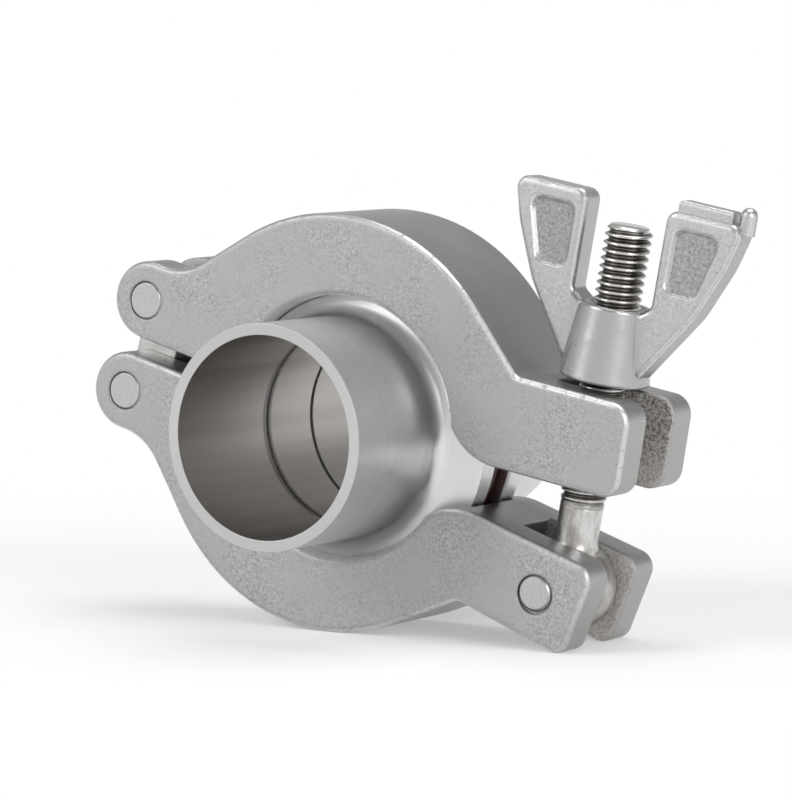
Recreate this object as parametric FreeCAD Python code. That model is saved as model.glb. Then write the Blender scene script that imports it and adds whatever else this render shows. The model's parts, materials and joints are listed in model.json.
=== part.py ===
import FreeCAD, Part
import os
from math import acos, asin, atan2, cos, degrees, hypot, pi, radians, sin, sqrt, tan

# Hinged clamp for two DN 25 KF flanges, all sizes in mm and degrees.
# It is drawn with its split plane level, the tubes along Y with the front one towards -Y, the
# hinge towards -X and the bolt towards +X. main() then rolls it on to the table.

# centring ring, O-ring and flanges, from the middle outwards
BORE_RADIUS = 12.6
TUBE_WALL = 1.4
TUBE_RADIUS = BORE_RADIUS + TUBE_WALL
TUBE_END = 24.7             # from the middle to each tube's end
CENTRING_WALL = 0.72
CENTRING_RADIUS = BORE_RADIUS + CENTRING_WALL
CENTRING_HALF = 4.7
CENTRING_FIT = 0.08         # on the radius, centring ring to flange
COLLAR_LIP = 0.5
COLLAR_HALF = 1.5
SEAL_FIT = 0.05
SEAL_WIDTH = 5.05           # of the squeezed O-ring
SEAL_ROUND = 1.91           # rounding of its squeezed section
FLANGE_GAP = 3.9            # between the two flange faces
FLANGE_LAND = 1.0           # face outside the O-ring
RIM_WIDTH = 3.0
CONE_ANGLE = 15.0
NECK_RADIUS = 2.5
RIM_EDGE = 0.3
RECESS_SHOULDER = 5.4
RECESS_RADIUS = CENTRING_RADIUS + CENTRING_FIT
COLLAR_RADIUS = RECESS_RADIUS + COLLAR_LIP
SEAL_INNER = COLLAR_RADIUS + SEAL_FIT
SEAL_OUTER = SEAL_INNER + SEAL_WIDTH
FLANGE_RADIUS = SEAL_OUTER + FLANGE_LAND

# clamp halves
CLAMP_WIDTH = 16.8          # along the tubes
GROOVE_GAP = 0.4            # flange rim to the bottom of the inner groove
GROOVE_RADIUS = FLANGE_RADIUS + GROOVE_GAP
RING_WALL = 6.0
RING_RADIUS = GROOVE_RADIUS + RING_WALL     # outside of the ring
RING_SHIFT = 1.4            # its centre lies this far from the tubes' axis, towards the hinge
HOLE_CLEARANCE = 2.6
HOLE_RADIUS = TUBE_RADIUS + HOLE_CLEARANCE  # opening in each side wall
HOLE_CHAMFER = 0.5
EDGE_RADIUS = 0.8           # rounding of the outside edges
UPPER_SEAT_GAP = 0.15       # between the upper half and the flange cones
INSIDE_INSET = 5.0          # on the hinge's side the outline ends this far inside the hole
MOUTH_RADIUS = 8.5          # broad corner between the hole and an ear's inner face
MOUTH_ANGLE = 27.0          # where it leaves the hole, from the split plane
MOUTH_BITE = 0.5            # how far inside the hole it ends
MOUTH_RUN = 2.0
INSIDE_X = HOLE_RADIUS - INSIDE_INSET

# hinge
HINGE_STANDOFF = 5.9
HINGE_X = -RING_RADIUS - HINGE_STANDOFF
PIN_SPACING = 12.3          # between the two link pins
LUG_RADIUS = 5.0
LUG_DIP = 4.6               # from a pin to the corner where lug and ring meet
DIP_RADIUS = 8.0
LINK_SLOT_ROOT = 4.7        # from a pin to the inner end of the link's slot
LINK_WIDTH = 6.3            # along Y
LINK_END_RADIUS = 4.1
LINK_WAIST = 6.0
HINGE_PIN_RADIUS = 2.5
PIN_CHAMFER = 0.3
RUNNING_GAP = 0.05          # on the radius, pin to turning part

# ears for the bolt; heights are from the split plane
SLOT_WIDTH = 6.6
SLOT_INSET = 0.1
SLOT_ROOT = RING_RADIUS - SLOT_INSET
SLOT_EDGE_RADIUS = 0.5
EAR_STANDOFF = 1.9          # from the ring to the corner where the ear starts
UPPER_REACH = 12.7          # ends of the ears, from the ring
LOWER_REACH = 12.3
UPPER_END_X = RING_RADIUS + UPPER_REACH
LOWER_END_X = RING_RADIUS + LOWER_REACH
EAR_END_LEAN = 6.5
EAR_OUTER_SLOPE = 5.5
EAR_INSET = 3.65
EAR_INNER_X = RING_RADIUS - EAR_INSET       # where the inner face's height is given
EAR_CORNER = 1.3            # concave corner at the ring
UPPER_TOP = 14.52           # outer face where the ear starts
UPPER_INSIDE = 2.7          # inner face
UPPER_INSIDE_SLOPE = 5.8
UPPER_TIP = 2.6             # end corner under the nut
UPPER_FOOT = 2.5            # end corner at the inner face
LOWER_TOP = 14.88
LOWER_INSIDE = 3.7
LOWER_INSIDE_SLOPE = 3.0
LOWER_TIP = 2.0             # end corner that the clamp rests on
LOWER_FOOT = 2.2

# swing bolt
PIVOT_STANDOFF = 6.5
PIVOT_X = RING_RADIUS + PIVOT_STANDOFF
PIVOT_Z = -10.0
PIVOT_RADIUS = 2.25
PIVOT_RELIEF = 0.25         # shallow widening of the hole's front mouth
PIVOT_RELIEF_DEPTH = 0.6
PIVOT_RELIEF_SHIFT = 0.15
BOLT_LEAN = 5.4             # towards the hinge
BOLT_LENGTH = 45.4          # pivot to tip
THREAD_RADIUS = 2.95
THREAD_START = 10.5         # from the pivot
SHANK_RADIUS = 2.7
EYE_RADIUS = 5.5
EYE_WIDTH = 6.2
EYE_EDGE = 0.9
TIP_CHAMFER = 0.6

# wing nut
NUT_STAND = 1.69            # lets the nut swing past the ear's end
SEAT = UPPER_TOP - PIVOT_Z + NUT_STAND      # pivot to the nut's lower face
NUT_BORE_RADIUS = 3.0
BOSS_HEIGHT = 9.4
BOSS_BOTTOM_RADIUS = 5.7
BOSS_TOP_RADIUS = 4.5
BOSS_EDGE = 0.4
WING_THICKNESS = 4.0
WING_EDGE = 0.8
WING_RISE = 22.5            # top of the wings above the nut's lower face
WING_INNER = 5.5            # inner edge of a wing, from the axis
WING_OUTER = 16.2
WING_CORNER = 1.5
WING_BENDS = ((0.85, 0.75, 14.0), (0.57, 0.455, 12.0))  # share of span, share of rise, radius
WING_FOOT = 1.5             # above the nut's lower face
WING_ROOT = 3.3             # inside the boss, from the axis
WING_ROOT_DROP = 0.6        # below the boss top
WING_CROOK_RISE = 0.9       # corner between wing and boss, above the boss top
WING_CROOK = 1.0
PANEL_DEPTH = 0.6
PANEL_TOP = 1.7             # below the wing's top
PANEL_FOOT = 12.4           # above the nut's lower face
PANEL_SIDES = (0.12, 0.23)  # margins left and right, as shares of the span
PANEL_TAPER = 0.23          # how much narrower its foot is
PANEL_CORNER = 1.4
PANEL_FLOOR = 0.84          # size of the panel's floor beside its mouth
STRIP_HEIGHT = 1.4          # cast remnant along one wing's top
STRIP_LENGTH = 7.4
STRIP_WIDTH = 2.4
STRIP_EDGE = 0.5
NUB_RADIUS = 1.05
NUB_INSET = 0.6             # its axis from the wing's outer edge
NUB_STEM = 2.3              # its length below its centre
NUB_RISE = 1.2              # its centre above the wing's top

HALF = CLAMP_WIDTH / 2
PIN_Z = PIN_SPACING / 2
PAST = 5.0                  # how far a cutting shape runs past what it cuts
X, Y, Z = FreeCAD.Vector(1, 0, 0), FreeCAD.Vector(0, 1, 0), FreeCAD.Vector(0, 0, 1)
ORIGIN = FreeCAD.Vector(0, 0, 0)


def corner(before, at, after, radius):
    """Tangent points, middle point and centre of the arc that rounds one corner."""
    ax, az = before[0] - at[0], before[1] - at[1]
    bx, bz = after[0] - at[0], after[1] - at[1]
    la, lb = hypot(ax, az), hypot(bx, bz)
    ax, az, bx, bz = ax / la, az / la, bx / lb, bz / lb
    half = acos(max(-1.0, min(1.0, ax * bx + az * bz))) / 2
    reach = radius / tan(half)
    first = (at[0] + ax * reach, at[1] + az * reach)
    last = (at[0] + bx * reach, at[1] + bz * reach)
    mx, mz = ax + bx, az + bz
    lm = hypot(mx, mz)
    far = radius / sin(half)
    centre = (at[0] + mx / lm * far, at[1] + mz / lm * far)
    middle = (centre[0] - mx / lm * radius, centre[1] - mz / lm * radius)
    return first, middle, last, centre


def rounded_face(points, y=0.0):
    """Flat face in the XZ plane at height y from (x, z, corner radius) points."""
    def at(p):
        return FreeCAD.Vector(p[0], y, p[1])
    edges, pieces, count = [], [], len(points)
    for i, point in enumerate(points):
        if point[2]:
            pieces.append(corner(points[i - 1], point, points[(i + 1) % count], point[2])[:3])
        else:
            pieces.append((point, None, point))
    for i, (first, middle, last) in enumerate(pieces):
        if middle:
            edges.append(Part.Arc(at(first), at(middle), at(last)).toShape())
        start = pieces[(i + 1) % count][0]
        if hypot(start[0] - last[0], start[1] - last[1]) > 1e-6:
            edges.append(Part.LineSegment(at(last), at(start)).toShape())
    return Part.Face(Part.Wire(edges))


def prism(points, low, high):
    """Rounded outline in XZ, extruded along Y from low to high."""
    return rounded_face(points, low).extrude(Y * (high - low))


def turned(points):
    """Solid of revolution about Y from (radius, y, corner radius) points."""
    face = rounded_face([(r, y, c) for r, y, c in points])
    face.rotate(ORIGIN, X, -90)         # the outline's second number becomes Y
    return face.revolve(ORIGIN, Y, 360)


def rod(radius, low, high, x=0.0, z=0.0):
    """Cylinder along Y."""
    return Part.makeCylinder(radius, high - low, FreeCAD.Vector(x, low, z), Y)


def flat_edges(shape, y):
    """Edges that lie wholly in the plane at this y."""
    return [e for e in shape.Edges
            if all(abs(v.Y - y) < 1e-6 for v in (e.Vertexes[0], e.Vertexes[-1]))
            and abs(e.valueAt((e.FirstParameter + e.LastParameter) / 2).y - y) < 1e-6]


def round_flat_edges(shape, y, radius):
    return shape.makeFillet(radius, flat_edges(shape, y) + flat_edges(shape, -y))


def cone_y(radius):
    """Distance of the flange's back cone from the middle, at this radius."""
    return FLANGE_GAP / 2 + RIM_WIDTH + (FLANGE_RADIUS - radius) * tan(radians(CONE_ANGLE))


def tangent_corner(left, right, radius):
    """Meeting point of the lines that run from two outside points tangent to the ring."""
    normals = []
    for point, side in ((left, -1), (right, 1)):
        away = hypot(point[0], point[1])
        angle = atan2(point[1], point[0]) + side * acos(radius / away)
        normals.append(angle)
    middle = (normals[0] + normals[1]) / 2
    spread = (normals[0] - normals[1]) / 2
    reach = radius / cos(spread)
    return (reach * cos(middle), reach * sin(middle))


def ear_points(start, end, inside, inside_slope, tip, foot):
    """Corners of an upper ear, from its outer end round to its inner face."""
    out, into = tan(radians(EAR_OUTER_SLOPE)), tan(radians(inside_slope))
    lean = tan(radians(EAR_END_LEAN))
    top_x = end
    top_z = start[1] + (top_x - start[0]) * out
    # the end face leans, so its foot lies further out than its top
    drop = top_z - (inside + (top_x - EAR_INNER_X) * into)
    foot_x = top_x + lean * drop / (1 + lean * into)
    foot_z = inside + (foot_x - EAR_INNER_X) * into
    # the inner face runs to a broad corner, and on along a line just inside the hole
    across, rise = cos(radians(MOUTH_ANGLE)), sin(radians(MOUTH_ANGLE))
    reach = HOLE_RADIUS - MOUTH_BITE
    mouth_x = (reach - rise * (inside - EAR_INNER_X * into)) / (across + rise * into)
    mouth_z = inside + (mouth_x - EAR_INNER_X) * into
    return [(top_x, top_z, tip), (foot_x, foot_z, foot), (mouth_x, mouth_z, MOUTH_RADIUS),
            (reach * across - MOUTH_RUN * rise, reach * rise + MOUTH_RUN * across, 0)]


def half_outline(top, end, inside, inside_slope, tip, foot):
    """Outline of a half as the upper one lies; the lower half mirrors it."""
    dip = (HINGE_X + LUG_DIP, PIN_Z + LUG_RADIUS)
    ear = (sqrt((RING_RADIUS + EAR_STANDOFF) ** 2 - top ** 2) - RING_SHIFT, top)
    crown = tangent_corner((dip[0] + RING_SHIFT, dip[1]), (ear[0] + RING_SHIFT, top), RING_RADIUS)
    crown = (crown[0] - RING_SHIFT, crown[1])
    split = PIN_Z - LUG_RADIUS
    return ([(HINGE_X - LUG_RADIUS, split, LUG_RADIUS),
             (HINGE_X - LUG_RADIUS, PIN_Z + LUG_RADIUS, LUG_RADIUS),
             dip + (DIP_RADIUS,), crown + (RING_RADIUS,), ear + (EAR_CORNER,)]
            + ear_points(ear, end, inside, inside_slope, tip, foot) + [(-INSIDE_X, split, 0)])


def upper_outline():
    return half_outline(UPPER_TOP, UPPER_END_X, UPPER_INSIDE, UPPER_INSIDE_SLOPE, UPPER_TIP, UPPER_FOOT)


def lower_outline():
    return half_outline(LOWER_TOP, LOWER_END_X, LOWER_INSIDE, LOWER_INSIDE_SLOPE, LOWER_TIP, LOWER_FOOT)


def groove_cutter(gap):
    """What the flanges need inside the clamp, with this gap on the cones."""
    wide, deep = cone_y(HOLE_RADIUS) + gap, cone_y(GROOVE_RADIUS) + gap
    face, chamfer = HALF, HOLE_CHAMFER
    side = [(HOLE_RADIUS, wide, 0), (HOLE_RADIUS, face - chamfer, 0),
            (HOLE_RADIUS + chamfer, face, 0), (HOLE_RADIUS + chamfer, face + PAST, 0)]
    back = [(r, -y, c) for r, y, c in reversed(side)]
    return turned([(0, -face - PAST, 0)] + back + [(GROOVE_RADIUS, -deep, 0), (GROOVE_RADIUS, deep, 0)]
                  + side + [(0, face + PAST, 0)])


def bolt_slot():
    """Upright slot with a square inner end, open at the ear's end."""
    reach = RING_RADIUS + PAST
    length = UPPER_END_X + 2 * PAST - SLOT_ROOT
    return Part.makeBox(length, SLOT_WIDTH, 2 * reach,
                        FreeCAD.Vector(SLOT_ROOT, -SLOT_WIDTH / 2, -reach))


def link_slot():
    """Slot for the link, open at the hinge end and above and below."""
    reach = RING_RADIUS + PAST
    length = LINK_SLOT_ROOT + LUG_RADIUS + PAST
    return Part.makeBox(length, SLOT_WIDTH, 2 * reach,
                        FreeCAD.Vector(HINGE_X + LINK_SLOT_ROOT - length, -SLOT_WIDTH / 2, -reach))


def clamp_half(outline, gap):
    """A half as the upper one lies, with its slots, groove and hinge-pin hole."""
    half = prism(outline, -HALF, HALF)
    half = round_flat_edges(half, HALF, EDGE_RADIUS)
    half = half.cut(bolt_slot().fuse(link_slot()))
    half = half.makeFillet(SLOT_EDGE_RADIUS, slot_edges(half))
    half = half.cut(groove_cutter(gap))
    return half.cut(rod(HINGE_PIN_RADIUS, -HALF - PAST, HALF + PAST, HINGE_X, PIN_Z))


def slot_edges(half):
    """Long edges of the ear's end on both sides of the bolt slot."""
    found = []
    for edge in half.Edges:
        if all(abs(abs(v.Y) - SLOT_WIDTH / 2) < 1e-6 for v in edge.Vertexes):
            middle = edge.valueAt((edge.FirstParameter + edge.LastParameter) / 2)
            if abs(abs(middle.y) - SLOT_WIDTH / 2) < 1e-6 and middle.x > PIVOT_X:
                found.append(edge)
    return found


def upper_half():
    return clamp_half(upper_outline(), UPPER_SEAT_GAP)


def lower_half():
    half = clamp_half(lower_outline(), 0.0)
    half = half.mirror(ORIGIN, Z)
    half = half.cut(rod(PIVOT_RADIUS, -HALF - PAST, HALF + PAST, PIVOT_X, PIVOT_Z))
    # the cast mouth of the hole is a little wide and off centre, down and outwards
    return half.cut(rod(PIVOT_RADIUS + PIVOT_RELIEF, -HALF - PAST, PIVOT_RELIEF_DEPTH - HALF,
                        PIVOT_X + PIVOT_RELIEF_SHIFT, PIVOT_Z - PIVOT_RELIEF_SHIFT))


def pin(radius, x, z, proud=0.0):
    """Round pin across the clamp with chamfered ends."""
    body = rod(radius, -HALF - proud, HALF + proud, x, z)
    ends = [e for e in body.Edges if isinstance(e.Curve, Part.Circle)]
    return body.makeChamfer(PIN_CHAMFER, ends)


def hinge_link():
    """Block with two pin holes, narrower between them."""
    low, high = -LINK_WIDTH / 2, LINK_WIDTH / 2
    block = Part.makeBox(LINK_WAIST, LINK_WIDTH, PIN_SPACING,
                         FreeCAD.Vector(HINGE_X - LINK_WAIST / 2, low, -PIN_Z))
    for z in (-PIN_Z, PIN_Z):
        block = block.fuse(rod(LINK_END_RADIUS, low, high, HINGE_X, z))
    for z in (-PIN_Z, PIN_Z):
        block = block.cut(rod(HINGE_PIN_RADIUS + RUNNING_GAP, low - PAST, high + PAST, HINGE_X, z))
    return block.removeSplitter()


def along_bolt(shape):
    """Move a shape drawn up the Z axis to the leaning bolt's axis, with its zero at the pivot."""
    shape.rotate(ORIGIN, Y, -BOLT_LEAN)
    shape.translate(FreeCAD.Vector(PIVOT_X, 0, PIVOT_Z))
    return shape


def swing_bolt():
    eye = rod(EYE_RADIUS, -EYE_WIDTH / 2, EYE_WIDTH / 2)
    eye = round_flat_edges(eye, EYE_WIDTH / 2, EYE_EDGE)
    shank = Part.makeCylinder(SHANK_RADIUS, THREAD_START)
    thread = Part.makeCylinder(THREAD_RADIUS, BOLT_LENGTH - TIP_CHAMFER - THREAD_START,
                               Z * THREAD_START)
    tip = Part.makeCone(THREAD_RADIUS, THREAD_RADIUS - TIP_CHAMFER, TIP_CHAMFER,
                        Z * (BOLT_LENGTH - TIP_CHAMFER))
    bolt = eye.fuse([shank, thread, tip])
    bolt = bolt.cut(rod(PIVOT_RADIUS + RUNNING_GAP, -EYE_WIDTH, EYE_WIDTH))
    return along_bolt(bolt.removeSplitter())


def wing_points():
    """One wing from its top inner corner round to the boss."""
    span = WING_OUTER - WING_INNER
    bends = [(WING_INNER + span * along, WING_RISE * up, r) for along, up, r in WING_BENDS]
    top = [(WING_INNER, WING_RISE, WING_CORNER), (WING_OUTER, WING_RISE, WING_CORNER)]
    foot = [(WING_INNER, WING_FOOT, 0), (WING_ROOT, WING_FOOT, 0)]
    root = [(WING_ROOT, BOSS_HEIGHT - WING_ROOT_DROP, 0),
            (WING_INNER, BOSS_HEIGHT + WING_CROOK_RISE, WING_CROOK)]
    return top + bends + foot + root


def panel_points():
    """Corners of the sunken panel in each side of a wing."""
    span = WING_OUTER - WING_INNER
    left, right = WING_INNER + span * PANEL_SIDES[0], WING_OUTER - span * PANEL_SIDES[1]
    high = WING_RISE - PANEL_TOP
    foot = right - span * PANEL_TAPER
    spots = ((left, high), (right, high), (foot, PANEL_FOOT), (left, PANEL_FOOT))
    return [(x, z, PANEL_CORNER) for x, z in spots]


def panel_cut(sign):
    """Panel-shaped cutter with sloping walls, on the side that sign gives."""
    face = WING_THICKNESS / 2
    points = panel_points()
    mouth = rounded_face(points, sign * face)
    cx = sum(p[0] for p in points) / len(points)
    cz = sum(p[1] for p in points) / len(points)
    small = [(cx + (x - cx) * PANEL_FLOOR, cz + (z - cz) * PANEL_FLOOR, r * PANEL_FLOOR)
             for x, z, r in points]
    floor = rounded_face(small, sign * (face - PANEL_DEPTH))
    return Part.makeLoft([floor.OuterWire, mouth.OuterWire], True, True)


def wing(sign):
    """Wing on the +X side, or mirrored for the other."""
    face = WING_THICKNESS / 2
    plate = prism(wing_points(), -face, face)
    plate = round_flat_edges(plate, face, WING_EDGE)
    for side in (-1, 1):
        plate = plate.cut(panel_cut(side))
    if sign < 0:
        plate = plate.mirror(ORIGIN, X)
    return plate


def wing_nut():
    boss = Part.makeCone(BOSS_BOTTOM_RADIUS, BOSS_TOP_RADIUS, BOSS_HEIGHT)
    rims = [e for e in boss.Edges if isinstance(e.Curve, Part.Circle)]
    boss = boss.makeFillet(BOSS_EDGE, rims)
    strip_start = WING_OUTER - STRIP_LENGTH - 2 * NUB_RADIUS
    strip = Part.makeBox(STRIP_LENGTH, STRIP_WIDTH, 2 * STRIP_HEIGHT,
                         FreeCAD.Vector(strip_start, -STRIP_WIDTH / 2, WING_RISE - STRIP_HEIGHT))
    tops = [e for e in strip.Edges if all(v.Z > WING_RISE for v in e.Vertexes)]
    strip = strip.makeFillet(STRIP_EDGE, tops)
    nub_x = WING_OUTER - NUB_INSET
    nub_z = WING_RISE + NUB_RISE
    nub = Part.makeCylinder(NUB_RADIUS, NUB_STEM, FreeCAD.Vector(nub_x, 0, nub_z - NUB_STEM))
    nub = nub.fuse(Part.makeSphere(NUB_RADIUS, FreeCAD.Vector(nub_x, 0, nub_z)))
    nut = boss.fuse([wing(1), wing(-1), strip, nub])
    bore = Part.makeCylinder(NUT_BORE_RADIUS, BOSS_HEIGHT + 2 * PAST, Z * -PAST)
    mouth = Part.makeCone(NUT_BORE_RADIUS, NUT_BORE_RADIUS + 2 * BOSS_EDGE, 2 * BOSS_EDGE,
                          Z * (BOSS_HEIGHT - 2 * BOSS_EDGE))
    nut = nut.cut(bore.fuse(mouth))
    nut.translate(Z * SEAT)
    return along_bolt(nut.removeSplitter())


def weld_stub(side):
    """Tube with a KF flange; side is -1 in front and 1 behind."""
    face = FLANGE_GAP / 2
    points = [(RECESS_RADIUS, face, 0), (FLANGE_RADIUS, face, RIM_EDGE),
              (FLANGE_RADIUS, face + RIM_WIDTH, 0),
              (TUBE_RADIUS, cone_y(TUBE_RADIUS), NECK_RADIUS), (TUBE_RADIUS, TUBE_END, 0),
              (BORE_RADIUS, TUBE_END, 0), (BORE_RADIUS, RECESS_SHOULDER, 0),
              (RECESS_RADIUS, RECESS_SHOULDER, 0)]
    stub = turned(points)
    return stub.mirror(ORIGIN, Y) if side < 0 else stub


def centring_ring():
    return turned([(BORE_RADIUS, -CENTRING_HALF, 0), (CENTRING_RADIUS, -CENTRING_HALF, 0),
                   (CENTRING_RADIUS, -COLLAR_HALF, 0), (COLLAR_RADIUS, -COLLAR_HALF, 0),
                   (COLLAR_RADIUS, COLLAR_HALF, 0), (CENTRING_RADIUS, COLLAR_HALF, 0),
                   (CENTRING_RADIUS, CENTRING_HALF, 0), (BORE_RADIUS, CENTRING_HALF, 0)])


def o_ring():
    """Seal squeezed flat between the two flange faces."""
    face = FLANGE_GAP / 2
    return turned([(SEAL_INNER, -face, SEAL_ROUND), (SEAL_OUTER, -face, SEAL_ROUND),
                   (SEAL_OUTER, face, SEAL_ROUND), (SEAL_INNER, face, SEAL_ROUND)])


def rest_roll():
    """Roll about the tubes that sets the ring and the lower ear's corner on one level."""
    points = lower_outline()
    at = [p[2] for p in points].index(LOWER_TIP)
    x, z = corner(points[at - 1], points[at], points[at + 1], LOWER_TIP)[3]
    x += RING_SHIFT                             # from the ring's own centre
    return degrees(asin((RING_RADIUS - LOWER_TIP) / hypot(x, z)) - atan2(z, x))



NODES = {
    "lower_clamp_half": lower_half,
    "upper_clamp_half": upper_half,
    "hinge_link": hinge_link,
    "lower_hinge_pin": lambda: pin(HINGE_PIN_RADIUS, HINGE_X, -PIN_Z),
    "upper_hinge_pin": lambda: pin(HINGE_PIN_RADIUS, HINGE_X, PIN_Z),
    "bolt_pivot_pin": lambda: pin(PIVOT_RADIUS, PIVOT_X, PIVOT_Z),
    "swing_bolt": swing_bolt,
    "wing_nut": wing_nut,
    "front_weld_stub": lambda: weld_stub(-1),
    "rear_weld_stub": lambda: weld_stub(1),
    "centering_ring": centring_ring,
    "o_ring": o_ring,
}


def main():
    os.makedirs("parts", exist_ok=True)
    roll = rest_roll()
    print("rest roll, degrees:", round(roll, 4))
    for name, make in NODES.items():
        shape = make()
        shape.rotate(ORIGIN, Y, roll)
        solids = shape.Solids
        print(name, "solids", len(solids), "valid", shape.isValid(), "volume", round(shape.Volume, 2))
        shape = solids[0] if len(solids) == 1 else shape
        shape.exportStep("parts/%s.step" % name)
    for name, x, z in (("lower link pin", HINGE_X, -PIN_Z), ("upper link pin", HINGE_X, PIN_Z),
                       ("bolt pivot", PIVOT_X, PIVOT_Z)):
        spot = FreeCAD.Rotation(Y, roll).multVec(FreeCAD.Vector(x, 0, z))
        print(name, [round(v, 5) for v in spot])
    axis = FreeCAD.Rotation(Y, roll - BOLT_LEAN).multVec(Z)
    print("bolt axis", [round(v, 7) for v in axis])


main()
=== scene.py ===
import bmesh
import bpy
import json
from math import cos, exp, pi, radians, sin
from mathutils import Matrix, Vector


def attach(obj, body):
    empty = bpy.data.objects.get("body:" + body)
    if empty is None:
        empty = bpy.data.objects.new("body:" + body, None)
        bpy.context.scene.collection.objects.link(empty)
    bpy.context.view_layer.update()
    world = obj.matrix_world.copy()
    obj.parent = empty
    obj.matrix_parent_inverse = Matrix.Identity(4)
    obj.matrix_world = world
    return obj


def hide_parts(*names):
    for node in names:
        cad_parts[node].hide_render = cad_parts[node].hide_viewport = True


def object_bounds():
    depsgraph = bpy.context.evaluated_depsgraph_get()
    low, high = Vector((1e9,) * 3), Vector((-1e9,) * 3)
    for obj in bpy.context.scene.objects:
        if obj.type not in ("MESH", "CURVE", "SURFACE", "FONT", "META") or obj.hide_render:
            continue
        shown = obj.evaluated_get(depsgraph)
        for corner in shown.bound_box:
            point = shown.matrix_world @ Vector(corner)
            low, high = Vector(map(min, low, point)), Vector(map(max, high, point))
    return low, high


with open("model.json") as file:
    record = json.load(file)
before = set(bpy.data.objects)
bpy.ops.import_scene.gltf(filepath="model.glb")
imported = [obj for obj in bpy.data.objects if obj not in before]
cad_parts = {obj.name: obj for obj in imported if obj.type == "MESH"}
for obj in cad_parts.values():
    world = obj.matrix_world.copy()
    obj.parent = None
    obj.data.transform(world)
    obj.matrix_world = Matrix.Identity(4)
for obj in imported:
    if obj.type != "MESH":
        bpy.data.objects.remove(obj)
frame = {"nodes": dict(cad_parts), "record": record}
cad_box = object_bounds()

MM = 0.001
NODES = frame["nodes"]
JOINTS = {j["name"]: j for j in frame["record"]["behaviour"]["joints"]}
PIVOT = Vector(JOINTS["bolt_swing"]["pos_m"])
BOLT_AXIS = Vector(JOINTS["nut_travel"]["axis"]).normalized()

# camera: angles in degrees, lengths in mm, clip distances in metres
CAMERA_AZIMUTH, CAMERA_ELEVATION, CAMERA_DISTANCE = 32.42, 5.06, 500.0
CAMERA_TARGET = (3.61, 0.0, 2.98)
SENSOR_HEIGHT, FOCAL_LENGTH = 24.0, 118.65
CLIP_NEAR, CLIP_FAR = 0.01, 20.0

# world: its strength for diffuse light, then its brightness by height for all but the
# camera, which sees white; heights run from 0 at the horizon to 1 straight above
DIFFUSE_LEVEL = 0.62
SKY_LOW, SKY_HIGH, SKY_TOP = 1.0, 0.42, 0.55
SKY_STOPS = ((0.0, SKY_LOW), (0.10, SKY_LOW), (0.34, SKY_HIGH), (0.62, SKY_HIGH), (0.95, SKY_TOP))
SKY_GREEN, SKY_BLUE = 0.995, 0.985

# floor, in metres: half its width, and how far from its middle the fade to white begins and
# ends; then its grey and its own glow as camera and metal see it, and its drop in mm
FLOOR_REACH, FLOOR_NEAR, FLOOR_FAR = 6.0, 0.055, 0.170
FLOOR_COLOUR, FLOOR_LIFT = 0.80, 0.30
FLOOR_DROP = 0.02

# lamps: name, place and diameter in metres, power in watts
LAMPS = (("key", (-0.55, -0.75, 0.55), 0.55, 3.8),
         ("top", (0.10, 0.15, 0.95), 0.80, 3.4),
         ("side", (0.80, -0.45, 0.35), 0.50, 2.8))

# swing bolt, mm
PITCH = 1.0
CREST, ROOT, SHANK = 2.95, 2.38, 2.70
THREAD_START, RUN_IN, BOLT_LENGTH, TIP_CHAMFER = 10.3, 1.9, 45.4, 0.6
EYE_RADIUS, EYE_HALF, EYE_EDGE, EYE_HOLE = 5.5, 3.1, 0.9, 2.32
SHANK_FOOT, SHANK_OVERLAP = 3.0, 0.1
FLARE, FLARE_START, FLARE_RUN = 0.55, 4.9, 0.55
NEEDLE, JOIN_VOXEL = 0.02, 0.17

# swing bolt, shares: the thread's flanks, its mesh rows across one pitch, the joined eye
FLANK_START, FLANK_RUN, FLANK_CURVE = 0.80, 0.64, 0.35
THREAD_ROWS = (0.0, 0.10, 0.18, 0.26, 0.34, 0.42, 0.50, 0.58, 0.66, 0.74, 0.82, 0.90)
JOIN_SOFTNESS = 0.5

# swing bolt, counts
THREAD_AROUND, EYE_AROUND, SHANK_STEPS, JOIN_ROUNDS = 72, 64, 24, 5
EDGE_STEPS, SPARE_TURNS = 6, 3

# distances in metres below which two points or two heights are the same
SAME_POINT, SAME_HEIGHT = 1e-7, 1e-6

# ---------------------------------------------------------------- materials

# ramps over a noise's own range
WIDE, MIDDLE, STEEP = (0.3, 0.7), (0.35, 0.65), (0.34, 0.66)

# parts of the coarse and the fine grain in a blasted surface
COARSE, FINE = 0.6, 0.4

# how far a surface faces along the tubes, 0 to 1, where it stops being a side or a flat face
OFF_SIDE, OFF_FACE = (0.10, 0.38), (0.985, 0.80)

BEVEL_SAMPLES = 6


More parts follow.
